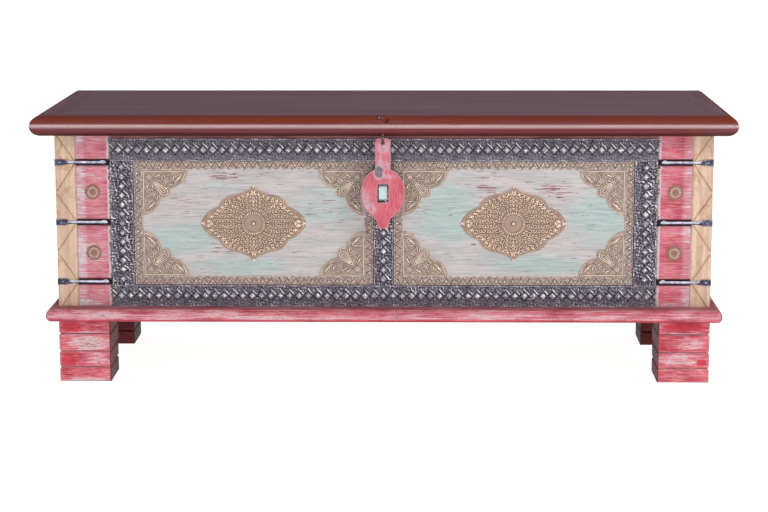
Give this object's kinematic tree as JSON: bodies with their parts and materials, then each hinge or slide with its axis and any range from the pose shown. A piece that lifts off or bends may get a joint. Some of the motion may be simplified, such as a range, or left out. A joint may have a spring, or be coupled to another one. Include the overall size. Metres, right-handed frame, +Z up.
{
  "type": "wooden storage chest",
  "caption": "Low wooden chest on block feet with a hinged lid, framed front with embossed metal, iron corner straps and a hanging hasp.",
  "frame": {"origin": "on the floor, under the middle of the lid", "axes": "+X to the right along the chest's length, +Y to the back, +Z up; the front faces -Y"},
  "size_m": [1.17, 0.45, 0.455],
  "materials": {
    "dark_wood": "dark stained and polished",
    "natural_wood": "bare, waxed",
    "plain_wood": "sawn and oiled",
    "red_paint": "distressed paint",
    "teal_paint": "distressed paint",
    "embossed_iron": "embossed, darkened",
    "antique_brass": "embossed, aged",
    "black_iron": "forged",
    "hinge_iron": "dull",
    "staple_iron": "worn paint",
    "painted_iron": "worn paint"
  },
  "bodies": {
    "case": {"back_board": "plain_wood", "base_back": "red_paint", "base_front_left": "red_paint", "base_front_right": "red_paint", "base_left": "red_paint", "base_right": "red_paint", "border_left": "antique_brass", "border_right": "antique_brass", "bottom_board": "plain_wood", "corner_post_front_left": "natural_wood", "corner_post_front_right": "natural_wood", "corner_post_rear_left": "natural_wood", "corner_post_rear_right": "natural_wood", "corner_straps_left": "black_iron", "corner_straps_right": "black_iron", "foot_front_left": "red_paint", "foot_front_right": "red_paint", "foot_rear_left": "red_paint", "foot_rear_right": "red_paint", "front_muntin": "red_paint", "front_panel_left": "teal_paint", "front_panel_right": "teal_paint", "front_rail_bottom": "red_paint", "front_rail_top": "red_paint", "front_stile_left": "red_paint", "front_stile_right": "red_paint", "hinge_case_leaves": "hinge_iron", "hinge_pins": "hinge_iron", "left_panel": "teal_paint", "left_rail_bottom": "red_paint", "left_rail_top": "red_paint", "medallion_left": "antique_brass", "medallion_right": "antique_brass", "padlock_staple": "staple_iron", "pilaster_front_left": "red_paint", "pilaster_front_right": "red_paint", "pilaster_left_front": "red_paint", "pilaster_left_rear": "red_paint", "pilaster_right_front": "red_paint", "pilaster_right_rear": "red_paint", "right_panel": "teal_paint", "right_rail_bottom": "red_paint", "right_rail_top": "red_paint", "rosettes": "antique_brass", "sheet_bottom": "embossed_iron", "sheet_centre": "embossed_iron", "sheet_left": "embossed_iron", "sheet_right": "embossed_iron", "sheet_top": "embossed_iron", "spandrels_left": "antique_brass", "spandrels_right": "antique_brass"},
    "lid": {"lid_lipping_front": "dark_wood", "lid_lipping_back": "dark_wood", "lid_lipping_left": "dark_wood", "lid_lipping_right": "dark_wood", "lid_board": "dark_wood", "lid_battens": "dark_wood", "hinge_lid_leaves": "hinge_iron", "hasp_ring": "black_iron"},
    "hasp": {"hasp": "painted_iron"}
  },
  "joints": [
    {"name": "lid_hinge", "type": "hinge", "parent": "case", "child": "lid", "pos_m": [0, 0.1945, 0.4175], "axis": [-1, 0, 0], "range_deg": [0, 108]},
    {"name": "hasp_swing", "type": "hinge", "parent": "lid", "child": "hasp", "pos_m": [0, -0.218, 0.416], "axis": [-1, 0, 0], "range_deg": [-8.5, 145]}
  ]
}
